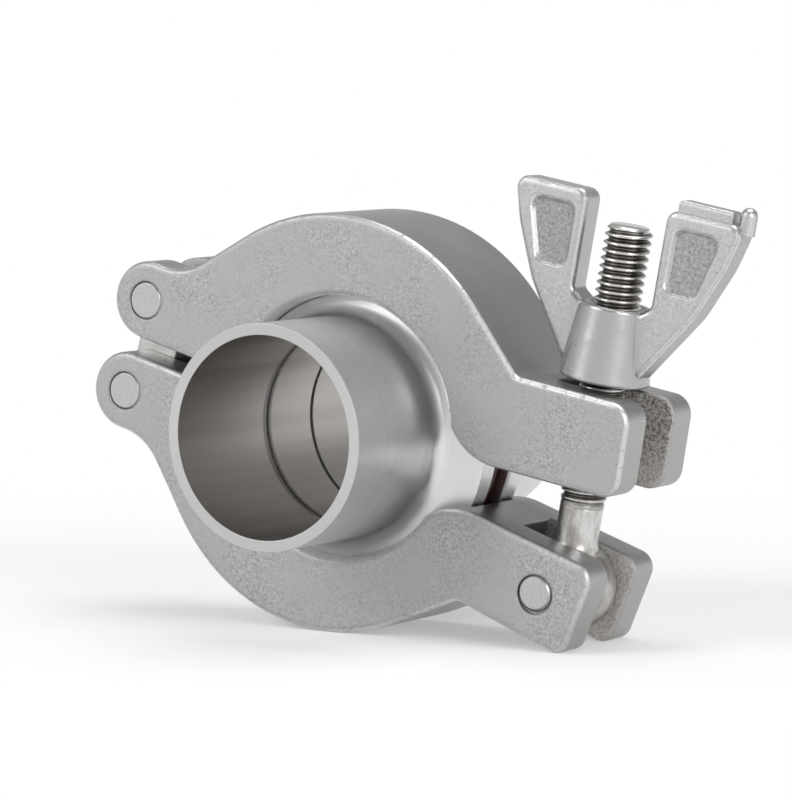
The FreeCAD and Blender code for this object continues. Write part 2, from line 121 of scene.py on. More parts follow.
class Shader:
    """A node material made with short calls."""

    def __init__(self, name, metallic=1.0, anisotropic=0.0, specular=0.5):
        self.material = bpy.data.materials.new(name)
        self.material.use_nodes = True
        self.tree = self.material.node_tree
        self.tree.nodes.clear()
        out = self.add("ShaderNodeOutputMaterial")
        self.bsdf = self.add("ShaderNodeBsdfPrincipled")
        self.bsdf.inputs["Metallic"].default_value = metallic
        self.bsdf.inputs["Anisotropic"].default_value = anisotropic
        self.bsdf.inputs["Specular IOR Level"].default_value = specular
        self.tree.links.new(self.bsdf.outputs[0], out.inputs["Surface"])
        self.coord = self.add("ShaderNodeTexCoord")
        self.place = self.coord.outputs["Object"]

    def add(self, kind):
        return self.tree.nodes.new(kind)

    def put(self, socket, value):
        if isinstance(value, bpy.types.NodeSocket):
            self.tree.links.new(value, socket)
        else:
            socket.default_value = value

    def math(self, operation, a, b=0.0):
        node = self.add("ShaderNodeMath")
        node.operation = operation
        self.put(node.inputs[0], a)
        self.put(node.inputs[1], b)
        return node.outputs[0]

    def product(self, first, *others):
        """Masks or shares multiplied together."""
        for other in others:
            first = self.math("MULTIPLY", first, other)
        return first

    def vector(self, operation, a, b=(0, 0, 0), scalar=False):
        node = self.add("ShaderNodeVectorMath")
        node.operation = operation
        self.put(node.inputs[0], a)
        self.put(node.inputs[1], b)
        return node.outputs["Value"] if scalar else node.outputs["Vector"]

    def parts(self, vector):
        node = self.add("ShaderNodeSeparateXYZ")
        self.put(node.inputs[0], vector)
        return node.outputs

    def join(self, x, y, z):
        node = self.add("ShaderNodeCombineXYZ")
        for socket, value in zip(node.inputs, (x, y, z)):
            self.put(socket, value)
        return node.outputs[0]

    def step(self, value, ends):
        """0 up to the first end, 1 from the second, smooth between; the ends may run downwards."""
        node = self.add("ShaderNodeMapRange")
        node.interpolation_type = "SMOOTHSTEP"
        flip = ends[0] > ends[1]
        self.put(node.inputs["Value"], value)
        node.inputs["From Min"].default_value = min(ends)
        node.inputs["From Max"].default_value = max(ends)
        node.inputs["To Min"].default_value = 1.0 if flip else 0.0
        node.inputs["To Max"].default_value = 0.0 if flip else 1.0
        return node.outputs[0]

    def step_mm(self, value, ends):
        """The same with its ends in mm."""
        return self.step(value, (ends[0] * MM, ends[1] * MM))

    def spread(self, value, ends, result=(0, 1)):
        """A range of the value stretched to another range."""
        node = self.add("ShaderNodeMapRange")
        self.put(node.inputs["Value"], value)
        for name, number in zip(("From Min", "From Max", "To Min", "To Max"), (*ends, *result)):
            self.put(node.inputs[name], number)
        return node.outputs[0]

    def spread_mm(self, value, ends, result):
        """The same with the value's range in mm."""
        return self.spread(value, (ends[0] * MM, ends[1] * MM), result)

    def noise(self, kind, vector=None):
        """Noise of a size in mm, a detail and a roughness."""
        size, detail, roughness = kind
        node = self.add("ShaderNodeTexNoise")
        self.put(node.inputs["Vector"], vector or self.place)
        node.inputs["Scale"].default_value = 1.0 / (size * MM)
        node.inputs["Detail"].default_value = detail
        node.inputs["Roughness"].default_value = roughness
        return node.outputs["Fac"]

    def mix(self, share, a, b):
        """Blend of two colours."""
        node = self.add("ShaderNodeMix")
        node.data_type = "RGBA"
        self.put(node.inputs["Factor"], share)
        for socket, value in ((node.inputs[6], a), (node.inputs[7], b)):
            self.put(socket, value if isinstance(value, bpy.types.NodeSocket) else (*value, 1.0))
        return node.outputs[2]

    def blend(self, share, a, b):
        """Blend of two numbers."""
        node = self.add("ShaderNodeMix")
        self.put(node.inputs["Factor"], share)
        self.put(node.inputs[2], a)
        self.put(node.inputs[3], b)
        return node.outputs[0]

    def bump(self, height, depth, strength, normal=None):
        """Bump of this depth in mm."""
        node = self.add("ShaderNodeBump")
        self.put(node.inputs["Strength"], strength)
        node.inputs["Distance"].default_value = depth * MM
        self.put(node.inputs["Height"], height)
        if normal is not None:
            self.put(node.inputs["Normal"], normal)
        return node.outputs[0]

    def soft_edges(self, radius):
        """Normal that rounds edges over this radius in mm."""
        node = self.add("ShaderNodeBevel")
        node.samples = BEVEL_SAMPLES
        node.inputs["Radius"].default_value = radius * MM
        return node.outputs[0]

    def finish(self, colour, roughness, normal):
        self.put(self.bsdf.inputs["Base Color"], colour)
        self.put(self.bsdf.inputs["Roughness"], roughness)
        self.put(self.bsdf.inputs["Normal"], normal)
        return self.material

    def along_y(self):
        """Distance from the middle plane, and how far the surface faces along the tubes."""
        across = self.math("ABSOLUTE", self.parts(self.place)[1])
        facing = self.math("ABSOLUTE", self.parts(self.coord.outputs["Normal"])[1])
        return across, facing

    def radius_about_y(self):
        """Distance from the tubes' axis."""
        x, _, z = self.parts(self.place)
        return self.vector("LENGTH", self.join(x, 0.0, z), scalar=True)

    def radius_about_bolt(self):
        """Distance from the bolt's axis at rest."""
        away = self.vector("SUBTRACT", self.place, tuple(PIVOT))
        return self.vector("LENGTH", self.vector("CROSS_PRODUCT", away, tuple(BOLT_AXIS)), scalar=True)

    def blasted(self, noises):
        """Coarse grain, and the same with a finer one in it."""
        grain, fine = self.noise(noises["grain"]), self.noise(noises["fine"])
        return grain, self.math("ADD", self.product(grain, COARSE), self.product(fine, FINE))

    def rubbed(self, facing):
        """Edges that face neither along the tubes nor across them."""
        return self.product(self.step(facing, OFF_SIDE), self.step(facing, OFF_FACE))


# Each material's tables: _NOISE holds size in mm, detail and roughness; _COLOUR linear red,
# green and blue; _ROUGH a roughness or its range; _AT where a mask begins and ends in mm;
# _FACING the same for how far a surface faces along the tubes; _RAMP the ends of a ramp over
# a noise; _SHARE how much is mixed in; _DEPTH bump in mm; _STRENGTH how much of it shows;
# _EDGE the radius in mm that edges are shaded with.

CAST_NOISE = {"grain": (0.34, 3, 0.65), "fine": (0.11, 2, 0.7), "cloud": (9.0, 2, 0.5),
              "worn": (0.9, 3, 0.7), "patches": (13.0, 2, 0.5), "speck": (0.42, 4, 0.75),
              "rust": (3.0, 3, 0.6), "waves": (4.5, 2, 0.5)}
CAST_COLOUR = {"dark": (0.22, 0.218, 0.218), "light": (0.63, 0.626, 0.626),
               "cloud": (0.445, 0.436, 0.438), "rim": (0.42, 0.418, 0.416),
               # the colour for the upper half's side towards the nut is a painted highlight, brighter than
               # the rubbed edges
               "rubbed": (0.70, 0.698, 0.694), "flank_highlight": (0.92, 0.918, 0.914),
               # the lower ear's pit colour is painted light, lighter than the upper ear's
               "upper_pit": (0.14, 0.136, 0.134), "lower_pit_painted_light": (0.46, 0.452, 0.446),
               "slot": (0.86, 0.850, 0.840), "rust": (0.74, 0.680, 0.620)}
CAST_ROUGH = {"face": (0.50, 0.64), "rim": (0.34, 0.44), "rubbed": 0.30, "slot": 0.62}
CAST_AT = {"edge": (6.9, 7.6), "flank_highlight_x": (7.0, 12.0), "flank_highlight_z": (1.0, 5.0),
           "wall": (3.46, 3.34), "wall_reach": (21.0, 22.0), "wall_x": (5.0, 10.0),
           "lower_ear": (0.0, -5.0), "rust_reach": (30.0, 39.0)}
CAST_FACING = {"rim": (0.30, 0.06), "wall": (0.60, 0.75)}
CAST_RAMP = {"worn": (0.30, 0.50), "patches": (0.38, 0.62), "speck": (0.38, 0.60),
             "rust": (0.45, 0.75)}
CAST_SHARE = {"rim": 0.75, "patches": (0.25, 0.85), "wall": 0.80}
CAST_RUST_OUTWARDS = (-0.1, 0.22)
CAST_DEPTH = {"grain": 0.070, "speck": 0.10, "waves": 0.10}
CAST_STRENGTH = {"face": 0.75, "rubbed": 0.18, "rim": 0.30, "wall": 1.0, "speck": 0.8, "waves": 0.35}
CAST_EDGE = 0.55


def cast_steel():
    """Fine blasted casting: bright rubbed edges with a painted highlight on the upper half's side towards
    the nut, smoother rim, rough speckled slot walls, painted lighter in the lower ear.
    """
    s = Shader("cast_steel")
    across, facing = s.along_y()
    x, _, z = s.parts(s.place)
    reach = s.radius_about_y()
    grain, both = s.blasted(CAST_NOISE)
    cloud = s.noise(CAST_NOISE["cloud"])
    face = s.mix(s.spread(both, STEEP), CAST_COLOUR["dark"], CAST_COLOUR["light"])
    face = s.mix(s.spread(cloud, WIDE), face, CAST_COLOUR["cloud"])
    # the rim and other faces that run along the tubes are smoother
    rim = s.step(facing, CAST_FACING["rim"])
    colour = s.mix(s.product(rim, CAST_SHARE["rim"]), face, CAST_COLOUR["rim"])
    rough = s.blend(rim, s.spread(grain, WIDE, CAST_ROUGH["face"]), s.spread(cloud, WIDE, CAST_ROUGH["rim"]))
    # rubbed edges: worn in patches; on the upper half's side towards the nut they are whole and brightest,
    # and there the colour is a painted highlight
    edge = s.product(s.rubbed(facing), s.step(s.noise(CAST_NOISE["worn"]), CAST_RAMP["worn"]),
                     s.step_mm(across, CAST_AT["edge"]))
    # painted highlight: the upper half's side towards the nut
    flank_highlight = s.product(s.step_mm(x, CAST_AT["flank_highlight_x"]), s.step_mm(z, CAST_AT["flank_highlight_z"]))
    patchy = s.spread(s.noise(CAST_NOISE["patches"]), CAST_RAMP["patches"], CAST_SHARE["patches"])
    edge = s.product(edge, s.math("MAXIMUM", flank_highlight, patchy))
    colour = s.mix(edge, colour, s.mix(flank_highlight, CAST_COLOUR["rubbed"], CAST_COLOUR["flank_highlight"]))
    rough = s.blend(edge, rough, CAST_ROUGH["rubbed"])
    # slot walls: coarse and speckled, darkest in the upper ear and browner outwards; in the lower ear their
    # dark specks are painted light, lighter than in the upper ear
    wall = s.product(s.step_mm(across, CAST_AT["wall"]), s.step_mm(reach, CAST_AT["wall_reach"]),
                     s.step(facing, CAST_FACING["wall"]), s.step_mm(x, CAST_AT["wall_x"]))
    speck = s.spread(s.noise(CAST_NOISE["speck"]), CAST_RAMP["speck"])
    outwards = s.spread_mm(reach, CAST_AT["rust_reach"], CAST_RUST_OUTWARDS)
    rust = s.math("ADD", s.noise(CAST_NOISE["rust"]), outwards)
    # painted light: the lower ear's wall gets a lighter pit colour
    dark = s.mix(s.step_mm(z, CAST_AT["lower_ear"]), CAST_COLOUR["upper_pit"], CAST_COLOUR["lower_pit_painted_light"])
    light = s.mix(s.spread(rust, CAST_RAMP["rust"]), CAST_COLOUR["slot"], CAST_COLOUR["rust"])
    colour = s.mix(s.product(wall, CAST_SHARE["wall"]), colour, s.mix(speck, dark, light))
    rough = s.blend(wall, rough, CAST_ROUGH["slot"])
    strength = s.blend(edge, CAST_STRENGTH["face"], CAST_STRENGTH["rubbed"])
    strength = s.blend(wall, s.blend(rim, strength, CAST_STRENGTH["rim"]), CAST_STRENGTH["wall"])
    normal = s.bump(both, CAST_DEPTH["grain"], strength, s.soft_edges(CAST_EDGE))
    normal = s.bump(s.product(speck, wall), CAST_DEPTH["speck"], CAST_STRENGTH["speck"], normal)
    normal = s.bump(s.noise(CAST_NOISE["waves"]), CAST_DEPTH["waves"], CAST_STRENGTH["waves"], normal)
    return s.finish(colour, rough, normal)


LINK_NOISE = {"grain": (0.25, 3, 0.6), "cloud": (3.0, 3, 0.6)}
LINK_COLOUR = {"dark": (0.42, 0.415, 0.405), "light": (0.62, 0.615, 0.60)}
LINK_ROUGH = (0.30, 0.46)
LINK_DEPTH, LINK_STRENGTH, LINK_EDGE = 0.02, 0.6, 0.35


def link_steel():
    """Satin block between the lugs."""
    s = Shader("link_steel")
    grain = s.noise(LINK_NOISE["grain"])
    colour = s.mix(s.spread(s.noise(LINK_NOISE["cloud"]), MIDDLE), LINK_COLOUR["dark"], LINK_COLOUR["light"])
    normal = s.bump(grain, LINK_DEPTH, LINK_STRENGTH, s.soft_edges(LINK_EDGE))
    return s.finish(colour, s.spread(grain, WIDE, LINK_ROUGH), normal)


PIN_NOISE = (0.30, 3, 0.6)
# the colour of the pins' chamfers is painted shade
PIN_COLOUR = {"dark": (0.43, 0.430, 0.428), "light": (0.56, 0.559, 0.556), "chamfer": (0.30, 0.297, 0.295)}
PIN_ROUGH = (0.30, 0.42)
PIN_CHAMFER_AT, PIN_FLAT_FACING, PIN_CHAMFER_SHARE = (8.02, 8.30), (0.90, 0.99), 0.20
PIN_DEPTH, PIN_STRENGTH, PIN_EDGE = 0.015, 0.5, 0.10


def pin_steel():
    """Turned pin ends, a little darker on their chamfers with painted shade."""
    s = Shader("pin_steel")
    across, facing = s.along_y()
    grain = s.noise(PIN_NOISE)
    colour = s.mix(s.spread(grain, WIDE), PIN_COLOUR["dark"], PIN_COLOUR["light"])
    # painted shade: the chamfers, in the crease where the pins meet the lugs
    chamfer = s.product(s.step_mm(across, PIN_CHAMFER_AT),
                        s.math("SUBTRACT", 1.0, s.step(facing, PIN_FLAT_FACING)))
    colour = s.mix(s.product(chamfer, PIN_CHAMFER_SHARE), colour, PIN_COLOUR["chamfer"])
    normal = s.bump(grain, PIN_DEPTH, PIN_STRENGTH, s.soft_edges(PIN_EDGE))
    return s.finish(colour, s.spread(grain, WIDE, PIN_ROUGH), normal)


NUT_NOISE = {"grain": (0.30, 3, 0.65), "fine": (0.10, 2, 0.7), "cloud": (4.0, 3, 0.6),
             "worn": (0.7, 3, 0.7), "speck": (0.45, 4, 0.75), "waves": (2.6, 2, 0.5)}
NUT_COLOUR = {"dark": (0.32, 0.318, 0.317), "light": (0.66, 0.656, 0.654),
              "cloud": (0.50, 0.496, 0.494), "rubbed": (0.74, 0.735, 0.722),
              "boss": (0.45, 0.447, 0.446), "pit": (0.22, 0.218, 0.217),
              "panel": (0.60, 0.596, 0.594)}
NUT_ROUGH = {"face": (0.40, 0.54), "rubbed": 0.25, "boss": (0.24, 0.36), "panel": 0.6}
NUT_AT = {"edge": (5.4, 6.0), "boss": (6.0, 5.5), "panel_top": (1.88, 1.70),
          "panel_floor": (1.24, 1.34), "panel_reach": (5.6, 6.4)}
NUT_PANEL_FACING = (0.5, 0.8)
NUT_WORN_RAMP = (0.28, 0.48)
NUT_SHARE = {"cloud": (0, 0.6), "rubbed": 0.6, "boss": 0.8, "panel": 0.85}
NUT_DEPTH = {"grain": 0.050, "speck": 0.10, "waves": 0.12}
NUT_STRENGTH = {"face": 0.8, "rubbed": 0.3, "boss": 0.22, "speck": 0.9, "waves": 0.5}
NUT_EDGE = 0.25


def nut_steel():
    """Casting with a smoother boss and coarse sunken panels."""
    s = Shader("nut_steel")
    across, facing = s.along_y()
    reach = s.radius_about_bolt()
    grain, both = s.blasted(NUT_NOISE)
    cloud = s.noise(NUT_NOISE["cloud"])
    colour = s.mix(s.spread(both, STEEP), NUT_COLOUR["dark"], NUT_COLOUR["light"])
    colour = s.mix(s.spread(cloud, MIDDLE, NUT_SHARE["cloud"]), colour, NUT_COLOUR["cloud"])
    rough = s.spread(grain, WIDE, NUT_ROUGH["face"])
    edge = s.product(s.rubbed(facing), s.step_mm(reach, NUT_AT["edge"]),
                     s.step(s.noise(NUT_NOISE["worn"]), NUT_WORN_RAMP))
    colour = s.mix(s.product(edge, NUT_SHARE["rubbed"]), colour, NUT_COLOUR["rubbed"])
    rough = s.blend(edge, rough, NUT_ROUGH["rubbed"])
    boss = s.step_mm(reach, NUT_AT["boss"])
    colour = s.mix(s.product(boss, NUT_SHARE["boss"]), colour, NUT_COLOUR["boss"])
    rough = s.blend(boss, rough, s.spread(cloud, WIDE, NUT_ROUGH["boss"]))
    panel = s.product(s.step_mm(across, NUT_AT["panel_top"]), s.step_mm(reach, NUT_AT["panel_reach"]),
                      s.step(facing, NUT_PANEL_FACING), s.step_mm(across, NUT_AT["panel_floor"]))
    speck = s.spread(s.noise(NUT_NOISE["speck"]), WIDE)
    colour = s.mix(s.product(panel, NUT_SHARE["panel"]), colour,
                   s.mix(speck, NUT_COLOUR["pit"], NUT_COLOUR["panel"]))
    rough = s.blend(panel, rough, NUT_ROUGH["panel"])
    strength = s.blend(edge, NUT_STRENGTH["face"], NUT_STRENGTH["rubbed"])
    strength = s.blend(boss, strength, NUT_STRENGTH["boss"])
    normal = s.bump(both, NUT_DEPTH["grain"], strength, s.soft_edges(NUT_EDGE))
    normal = s.bump(s.product(speck, panel), NUT_DEPTH["speck"], NUT_STRENGTH["speck"], normal)
    normal = s.bump(s.noise(NUT_NOISE["waves"]), NUT_DEPTH["waves"], NUT_STRENGTH["waves"], normal)
    return s.finish(colour, rough, normal)


TUBE_NOISE = {"rings": (0.16, 3, 0.7), "broad": (1.6, 2, 0.6), "stain": (6.0, 3, 0.6),
              "streak": (4.5, 2, 0.5), "grain": (0.22, 3, 0.6)}
TUBE_COLOUR = {"dark": (0.66, 0.656, 0.652), "light": (0.80, 0.797, 0.793),
               "stain": (0.66, 0.652, 0.640), "bore_dark": (0.33, 0.313, 0.300),
               # the colour of the joint with the centring ring is painted shade
               "bore_light": (0.45, 0.434, 0.422), "seam_shade": (0.12, 0.112, 0.106),
               "end": (0.53, 0.529, 0.527), "neck": (0.72, 0.718, 0.714)}
TUBE_ROUGH = {"outside": (0.30, 0.40), "bore": 0.34, "end": 0.38}
TUBE_AT = {"bore": (12.75, 12.62), "seam_shade_front": (-6.30, -5.90), "seam_shade_back": (-4.20, -4.45),
           "end": (24.5, 24.68), "neck": (10.5, 9.0)}
TUBE_FACING = {"end": (0.7, 0.95), "neck": (0.2, 0.5)}
TUBE_STAIN_RAMP = (0.4, 0.7)
TUBE_SHARE = {"stain": (0, 0.5), "seam_shade": 0.7, "neck": 0.8}
TUBE_DEPTH = 0.010
TUBE_STRENGTH = {"rings": 0.55, "grain": 0.4}
TUBE_EDGE, TUBE_ANISOTROPY = 0.12, 0.35


def tube_steel():
    """Turned and satin: fine rings round the tube, a brown-grey bore and a plain cut end."""
    s = Shader("tube_steel", anisotropic=TUBE_ANISOTROPY)
    across, facing = s.along_y()
    x, y, z = s.parts(s.place)
    reach = s.radius_about_y()
    turned = s.join(reach, across, 0.0)
    rings = s.noise(TUBE_NOISE["rings"], turned)
    colour = s.mix(s.spread(rings, WIDE), TUBE_COLOUR["dark"], TUBE_COLOUR["light"])
    stain = s.spread(s.noise(TUBE_NOISE["stain"]), TUBE_STAIN_RAMP, TUBE_SHARE["stain"])
    colour = s.mix(stain, colour, TUBE_COLOUR["stain"])
    rough = s.spread(s.noise(TUBE_NOISE["broad"], turned), WIDE, TUBE_ROUGH["outside"])
    bore = s.step_mm(reach, TUBE_AT["bore"])
    streak = s.spread(s.noise(TUBE_NOISE["streak"], s.join(x, 0.0, z)), MIDDLE)
    colour = s.mix(bore, colour, s.mix(streak, TUBE_COLOUR["bore_dark"], TUBE_COLOUR["bore_light"]))
    # painted shade: a dark band where the front tube meets the centring ring
    seam_shade = s.product(s.step_mm(y, TUBE_AT["seam_shade_front"]), s.step_mm(y, TUBE_AT["seam_shade_back"]), bore)
    colour = s.mix(s.product(seam_shade, TUBE_SHARE["seam_shade"]), colour, TUBE_COLOUR["seam_shade"])
    rough = s.blend(bore, rough, TUBE_ROUGH["bore"])
    end = s.product(s.step_mm(across, TUBE_AT["end"]), s.step(facing, TUBE_FACING["end"]))
    colour = s.mix(end, colour, TUBE_COLOUR["end"])
    rough = s.blend(end, rough, TUBE_ROUGH["end"])
    neck = s.product(s.step(facing, TUBE_FACING["neck"]), s.step_mm(across, TUBE_AT["neck"]))
    colour = s.mix(s.product(neck, TUBE_SHARE["neck"]), colour, TUBE_COLOUR["neck"])
    tangent = s.add("ShaderNodeTangent")
    tangent.direction_type, tangent.axis = "RADIAL", "Y"
    s.put(s.bsdf.inputs["Tangent"], tangent.outputs[0])
    normal = s.bump(rings, TUBE_DEPTH, TUBE_STRENGTH["rings"], s.soft_edges(TUBE_EDGE))
    normal = s.bump(s.noise(TUBE_NOISE["grain"]), TUBE_DEPTH, TUBE_STRENGTH["grain"], normal)
    return s.finish(colour, rough, normal)


SEAL_NOISE = {"bloom": (1.2, 4, 0.65), "grain": (0.18, 3, 0.6)}
SEAL_COLOUR = {"dark": (0.060, 0.012, 0.014), "light": (0.115, 0.030, 0.030)}
SEAL_ROUGH, SEAL_BLOOM_RAMP = (0.34, 0.50), (0.35, 0.7)
SEAL_DEPTH, SEAL_STRENGTH, SEAL_SPECULAR = 0.012, 0.5, 0.45


def seal_rubber():
    """Dark red-brown rubber with a slight bloom."""
    s = Shader("seal_rubber", metallic=0.0, specular=SEAL_SPECULAR)
    bloom = s.noise(SEAL_NOISE["bloom"])
    colour = s.mix(s.spread(bloom, SEAL_BLOOM_RAMP), SEAL_COLOUR["dark"], SEAL_COLOUR["light"])
    normal = s.bump(s.noise(SEAL_NOISE["grain"]), SEAL_DEPTH, SEAL_STRENGTH)
    return s.finish(colour, s.spread(bloom, WIDE, SEAL_ROUGH), normal)


THREAD_NOISE = {"stain": (1.5, 3, 0.65), "scratch": (0.12, 3, 0.6)}
# the thread's root colours are painted shade
THREAD_COLOUR = {"root_shade_dark": (0.085, 0.077, 0.070), "root_shade_light": (0.17, 0.156, 0.142),
                 "crest_dark": (0.66, 0.655, 0.645), "crest_light": (0.78, 0.775, 0.765)}
THREAD_ROUGH = {"root": 0.34, "crest": (0.15, 0.24)}
THREAD_AT = {"crest": (ROOT + 0.12, CREST - 0.03), "tip": (BOLT_LENGTH - 0.7, BOLT_LENGTH - 0.2)}
THREAD_DEPTH, THREAD_STRENGTH, SCRATCH_SQUEEZE = 0.006, 0.5, 8.0


def thread_steel():
    """Bright rolled thread whose roots are darker with painted shade; its fine scratches run round it."""
    s = Shader("thread_steel")
    x, y, z = s.parts(s.place)
    reach = s.vector("LENGTH", s.join(x, y, 0.0), scalar=True)
    crest = s.math("MAXIMUM", s.step_mm(reach, THREAD_AT["crest"]), s.step_mm(z, THREAD_AT["tip"]))
    stain = s.noise(THREAD_NOISE["stain"])
    shade = s.spread(stain, MIDDLE)
    # painted shade: the thread's roots
    root = s.mix(shade, THREAD_COLOUR["root_shade_dark"], THREAD_COLOUR["root_shade_light"])
    top = s.mix(shade, THREAD_COLOUR["crest_dark"], THREAD_COLOUR["crest_light"])
    rough = s.blend(crest, THREAD_ROUGH["root"], s.spread(stain, WIDE, THREAD_ROUGH["crest"]))
    scratch = s.noise(THREAD_NOISE["scratch"], s.join(s.product(reach, SCRATCH_SQUEEZE), 0.0, z))
    return s.finish(s.mix(crest, root, top), rough, s.bump(scratch, THREAD_DEPTH, THREAD_STRENGTH))


SHANK_NOISE = {"grain": (0.22, 3, 0.6), "stain": (2.0, 4, 0.65)}
SHANK_COLOUR = {"clean": (0.66, 0.655, 0.645), "stain": (0.36, 0.342, 0.322)}
SHANK_ROUGH, SHANK_STAIN_RAMP = (0.26, 0.38), (0.38, 0.64)
SHANK_DEPTH, SHANK_STRENGTH, STAIN_STRETCH = 0.018, 0.5, 0.35


def shank_steel():
    """Satin forged eye and shank, with stains drawn out along the bolt."""
    s = Shader("shank_steel")
    grain = s.noise(SHANK_NOISE["grain"])
    x, y, z = s.parts(s.place)
    stain = s.noise(SHANK_NOISE["stain"], s.join(x, y, s.product(z, STAIN_STRETCH)))
    colour = s.mix(s.spread(stain, SHANK_STAIN_RAMP), SHANK_COLOUR["clean"], SHANK_COLOUR["stain"])
    normal = s.bump(grain, SHANK_DEPTH, SHANK_STRENGTH)
    return s.finish(colour, s.spread(grain, WIDE, SHANK_ROUGH), normal)


# ---------------------------------------------------------------- swing bolt

def link_object(name, mesh, material, smooth=True):
    """Object of this mesh in the scene, smooth or flat shaded."""
    obj = bpy.data.objects.new(name, mesh)
    bpy.context.scene.collection.objects.link(obj)
    mesh.materials.append(material)
    if smooth:
        mesh.polygons.foreach_set("use_smooth", [True] * len(mesh.polygons))
    return obj


def eased(share):
    """0 to 1 with a level start and end."""
    return share * share * (3 - 2 * share)


def thread_height(turn):
    """0 in the root to 1 on the crest, for a place from 0 to 1 across one pitch."""
    away = abs(turn - 0.5) * 2
    share = min(1.0, max(0.0, (FLANK_START - away) / FLANK_RUN))
    return eased(share) * FLANK_CURVE + share * (1 - FLANK_CURVE)


def thread_radius(up, angle):
    """Radius at a height and an angle: shank, run-in, thread and chamfered tip."""
    turn = (up / PITCH - angle / (2 * pi)) % 1.0
    grown = min(1.0, max(0.0, (up - THREAD_START) / RUN_IN))
    cut = ROOT + (CREST - ROOT) * thread_height(turn)
    radius = SHANK + (cut - SHANK) * eased(grown)
    past = up - (BOLT_LENGTH - TIP_CHAMFER)
    return min(radius, CREST - past) if past > 0 else radius


def thread_mesh():
    """Thread whose mesh follows the helix, closed by a flat tip."""
    # the spare turns reach past both ends, where their heights are held
    turns = int((BOLT_LENGTH - THREAD_START) / PITCH) + SPARE_TURNS
    first = THREAD_START - PITCH * SPARE_TURNS / 2
    rows = [first + PITCH * (t + a) for t in range(turns) for a in THREAD_ROWS]
    bm = bmesh.new()
    grid = []
    for row in rows:
        line = []
        for i in range(THREAD_AROUND):
            angle = 2 * pi * i / THREAD_AROUND
            up = min(BOLT_LENGTH, max(THREAD_START, row + PITCH * i / THREAD_AROUND))
            radius = thread_radius(up, angle)
            line.append(bm.verts.new((radius * cos(angle) * MM, radius * sin(angle) * MM, up * MM)))
        grid.append(line)
    step = len(THREAD_ROWS)
    for j in range(len(grid) - 1):
        for i in range(THREAD_AROUND):
            if i + 1 < THREAD_AROUND:
                a, b = grid[j][i + 1], grid[j + 1][i + 1]
            elif j + step + 1 < len(grid):
                a, b = grid[j + step][0], grid[j + step + 1][0]
            else:
                continue
            bm.faces.new((grid[j][i], a, b, grid[j + 1][i]))
    bmesh.ops.remove_doubles(bm, verts=bm.verts[:], dist=SAME_POINT)
    for edges_at in (THREAD_START, BOLT_LENGTH):
        loop = [e for e in bm.edges if len(e.link_faces) == 1
                and all(abs(v.co.z - edges_at * MM) < SAME_HEIGHT for v in e.verts)]
        if loop:
            bmesh.ops.holes_fill(bm, edges=loop, sides=0)
    bmesh.ops.recalc_face_normals(bm, faces=bm.faces[:])
    mesh = bpy.data.meshes.new("bolt_thread")
    bm.to_mesh(mesh)
    bm.free()
    return mesh


def lathe(bm, profile, around, axis):
    """Closed ring of revolution from (radius, height) points about the Y or Z axis."""
    rings = []
    for i in range(around):
        c, d = cos(2 * pi * i / around), sin(2 * pi * i / around)
        rings.append([bm.verts.new((r * c * MM, h * MM, r * d * MM) if axis == "Y"
                                   else (r * c * MM, r * d * MM, h * MM)) for r, h in profile])
    for i in range(around):
        here, there = rings[i], rings[(i + 1) % around]
        for j in range(len(profile)):
            k = (j + 1) % len(profile)
            bm.faces.new((here[j], there[j], there[k], here[k]))


def rounded_section(inner, outer, half, edge):
    """Section of a disc with a hole and rounded outer corners."""
    points = [(inner, -half)]
    for centre, start in (((outer - edge, -half + edge), -90), ((outer - edge, half - edge), 0)):
        for k in range(EDGE_STEPS + 1):
            angle = radians(start + 90 * k / EDGE_STEPS)
            points.append((centre[0] + edge * cos(angle), centre[1] + edge * sin(angle)))
    return points + [(inner, half)]


def eye_mesh():
    """Eye and shank as two closed forms; the remesh joins them and fills the shank's needle hole."""
    bm = bmesh.new()
    lathe(bm, rounded_section(EYE_HOLE, EYE_RADIUS, EYE_HALF, EYE_EDGE), EYE_AROUND, "Y")
    shank_end = THREAD_START + SHANK_OVERLAP
    profile = [(NEEDLE, SHANK_FOOT)]
    for k in range(SHANK_STEPS + 1):
        up = SHANK_FOOT + (shank_end - SHANK_FOOT) * k / SHANK_STEPS
        flare = FLARE * exp(-max(0.0, up - FLARE_START) / FLARE_RUN)
        profile.append((min(SHANK + flare, EYE_HALF), up))
    profile.append((NEEDLE, shank_end))
    lathe(bm, profile, EYE_AROUND, "Z")
    bmesh.ops.recalc_face_normals(bm, faces=bm.faces[:])
    mesh = bpy.data.meshes.new("bolt_eye")
    bm.to_mesh(mesh)
    bm.free()
    return mesh


def swing_bolt():
    """Thread and eye in the bolt's own axes, set on the pivot, in place of the plain solid."""
    side = Vector((0, 1, 0))
    out = side.cross(BOLT_AXIS)
    turn = Matrix((out, side, BOLT_AXIS)).transposed().to_4x4()
    place = Matrix.Translation(PIVOT) @ turn
    thread = link_object("bolt_thread", thread_mesh(), thread_steel())
    eye = link_object("bolt_eye", eye_mesh(), shank_steel())
    # the remesh fuses eye and shank, and the smoothing takes its steps out
    remesh = eye.modifiers.new("join", "REMESH")
    remesh.mode, remesh.voxel_size, remesh.use_smooth_shade = "VOXEL", JOIN_VOXEL * MM, True
    soften = eye.modifiers.new("soften", "SMOOTH")
    soften.factor, soften.iterations = JOIN_SOFTNESS, JOIN_ROUNDS
    for piece in (thread, eye):
        piece.matrix_world = place
        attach(piece, "bolt")
        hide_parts("swing_bolt")


# ---------------------------------------------------------------- studio

